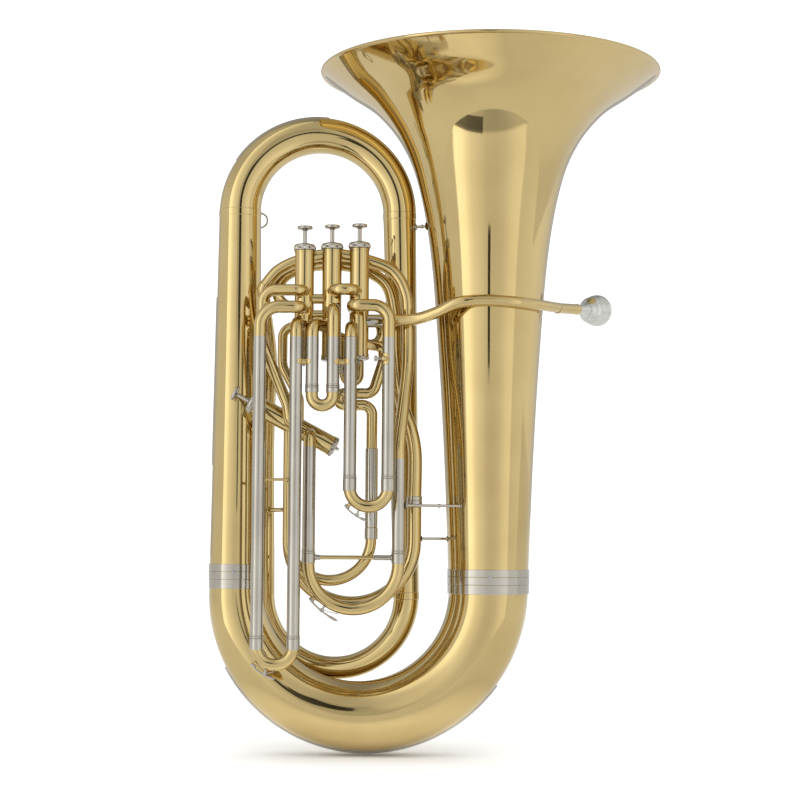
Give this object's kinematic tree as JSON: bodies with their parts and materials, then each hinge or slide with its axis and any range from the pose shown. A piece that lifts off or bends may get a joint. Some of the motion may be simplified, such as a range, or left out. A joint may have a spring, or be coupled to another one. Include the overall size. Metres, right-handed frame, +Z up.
{
  "type": "compensating tuba",
  "caption": "Upright tuba with a wide flared bell, folded conical tubing, top-action piston valves, a slanted side valve, tuning slides with water keys, leadpipe and mouthpiece.",
  "frame": {"origin": "lowest point of the bottom bow's tube, in the plane of the bell and the outer branch", "axes": "+Z up along the bell to its rim, +X from the outer branch to the bell, +Y from the valve slides to the back"},
  "size_m": [0.6335, 0.4826, 0.9648],
  "materials": {
    "lacquered_brass": "clear gold lacquer, polished",
    "nickel_silver": "polished nickel silver",
    "silver_plate": "bright silver plate",
    "spring_steel": "bright drawn wire",
    "cork": "natural cork"
  },
  "bodies": {
    "root": {"bell": "lacquered_brass", "bell_ferrule": "nickel_silver", "bottom_bow": "lacquered_brass", "bottom_bow_guard": "nickel_silver", "branch_ferrule": "nickel_silver", "outer_branch": "lacquered_brass", "top_bow": "lacquered_brass", "top_bow_guard": "nickel_silver", "inner_branch": "lacquered_brass", "inner_bow": "lacquered_brass", "main_arch": "lacquered_brass", "rear_bow": "lacquered_brass", "rear_arch": "lacquered_brass", "compensating_return": "lacquered_brass", "compensating_tube_3": "lacquered_brass", "crook_2_to_1": "lacquered_brass", "knuckle_3_to_2": "lacquered_brass", "link_3_to_4": "lacquered_brass", "slide_1_left_sleeve": "nickel_silver", "slide_1_right_sleeve": "nickel_silver", "slide_2_left_sleeve": "nickel_silver", "slide_2_right_sleeve": "nickel_silver", "slide_3_right_sleeve": "nickel_silver", "slide_3_left_sleeve": "nickel_silver", "main_slide_left_sleeve": "nickel_silver", "leadpipe": "lacquered_brass", "receiver": "lacquered_brass", "bell_brace_upper": "nickel_silver", "bell_brace_lower": "nickel_silver", "slide_3_brace": "lacquered_brass", "strap_eye": "nickel_silver", "valve_1_casing": "lacquered_brass", "valve_1_top_cap": "nickel_silver", "valve_1_bottom_cap": "nickel_silver", "valve_1_spring": "spring_steel", "valve_2_casing": "lacquered_brass", "valve_2_top_cap": "nickel_silver", "valve_2_bottom_cap": "nickel_silver", "valve_2_spring": "spring_steel", "valve_3_casing": "lacquered_brass", "valve_3_top_cap": "nickel_silver", "valve_3_bottom_cap": "nickel_silver", "valve_3_spring": "spring_steel", "valve_4_casing": "lacquered_brass", "valve_4_top_cap": "nickel_silver", "valve_4_bottom_cap": "nickel_silver", "valve_4_spring": "spring_steel"},
    "valve_1_piston": {"valve_1_piston": "nickel_silver"},
    "valve_2_piston": {"valve_2_piston": "nickel_silver"},
    "valve_3_piston": {"valve_3_piston": "nickel_silver"},
    "valve_4_piston": {"valve_4_piston": "nickel_silver"},
    "slide_1": {"slide_1": "lacquered_brass"},
    "slide_1_water_key": {"slide_1_water_key": "nickel_silver"},
    "slide_2": {"slide_2": "lacquered_brass"},
    "slide_3": {"slide_3": "lacquered_brass"},
    "slide_3_water_key": {"slide_3_water_key": "nickel_silver"},
    "main_slide": {"main_slide": "lacquered_brass"},
    "main_slide_water_key": {"main_slide_water_key": "nickel_silver"},
    "mouthpiece": {"mouthpiece": "silver_plate"},
    "strap_ring": {"strap_ring": "nickel_silver"}
  },
  "joints": [
    {"name": "valve_1_stroke", "type": "slide", "parent": "root", "child": "valve_1_piston", "axis": [0, 0, -1], "range_m": [0, 0.017], "stiffness_N_per_m": 150, "springref_m": -0.027, "deforming": ["valve_1_spring"]},
    {"name": "valve_2_stroke", "type": "slide", "parent": "root", "child": "valve_2_piston", "axis": [0, 0, -1], "range_m": [0, 0.017], "stiffness_N_per_m": 150, "springref_m": -0.027, "deforming": ["valve_2_spring"]},
    {"name": "valve_3_stroke", "type": "slide", "parent": "root", "child": "valve_3_piston", "axis": [0, 0, -1], "range_m": [0, 0.017], "stiffness_N_per_m": 150, "springref_m": -0.027, "deforming": ["valve_3_spring"]},
    {"name": "valve_4_stroke", "type": "slide", "parent": "root", "child": "valve_4_piston", "axis": [0.8813, 0, -0.4726], "range_m": [0, 0.017], "stiffness_N_per_m": 150, "springref_m": -0.027, "deforming": ["valve_4_spring"]},
    {"name": "slide_1_pull", "type": "slide", "parent": "root", "child": "slide_1", "axis": [0, 0, -1], "range_m": [0, 0.08]},
    {"name": "slide_1_water_key_lever", "type": "hinge", "parent": "slide_1", "child": "slide_1_water_key", "pos_m": [-0.006, -0.095, 0.3287], "axis": [0, -1, 0], "range_deg": [0, 10], "stiffness_Nm_per_rad": 0.2, "springref_deg": -11.46},
    {"name": "slide_2_pull", "type": "slide", "parent": "root", "child": "slide_2", "axis": [0, 0, -1], "range_m": [0, 0.04]},
    {"name": "slide_3_pull", "type": "slide", "parent": "root", "child": "slide_3", "axis": [0, 0, -1], "range_m": [0, 0.1]},
    {"name": "slide_3_water_key_lever", "type": "hinge", "parent": "slide_3", "child": "slide_3_water_key", "pos_m": [-0.1287, -0.095, 0.1139], "axis": [0, -1, 0], "range_deg": [0, 10], "stiffness_Nm_per_rad": 0.2, "springref_deg": -11.46},
    {"name": "main_slide_pull", "type": "slide", "parent": "root", "child": "main_slide", "axis": [0, 0, -1], "range_m": [0, 0.07]},
    {"name": "main_slide_water_key_lever", "type": "hinge", "parent": "main_slide", "child": "main_slide_water_key", "pos_m": [-0.0532, -0.072, 0.199], "axis": [0, -1, 0], "range_deg": [0, 10], "stiffness_Nm_per_rad": 0.2, "springref_deg": -11.46},
    {"name": "mouthpiece_pull", "type": "slide", "parent": "root", "child": "mouthpiece", "axis": [0.5433, 0.8366, 0.0698], "range_m": [0, 0.034]},
    {"name": "strap_ring_swing", "type": "hinge", "parent": "root", "child": "strap_ring", "pos_m": [-0.151, 0.031, 0.7614], "axis": [1, 0, 0], "range_deg": [-10, 100]}
  ]
}
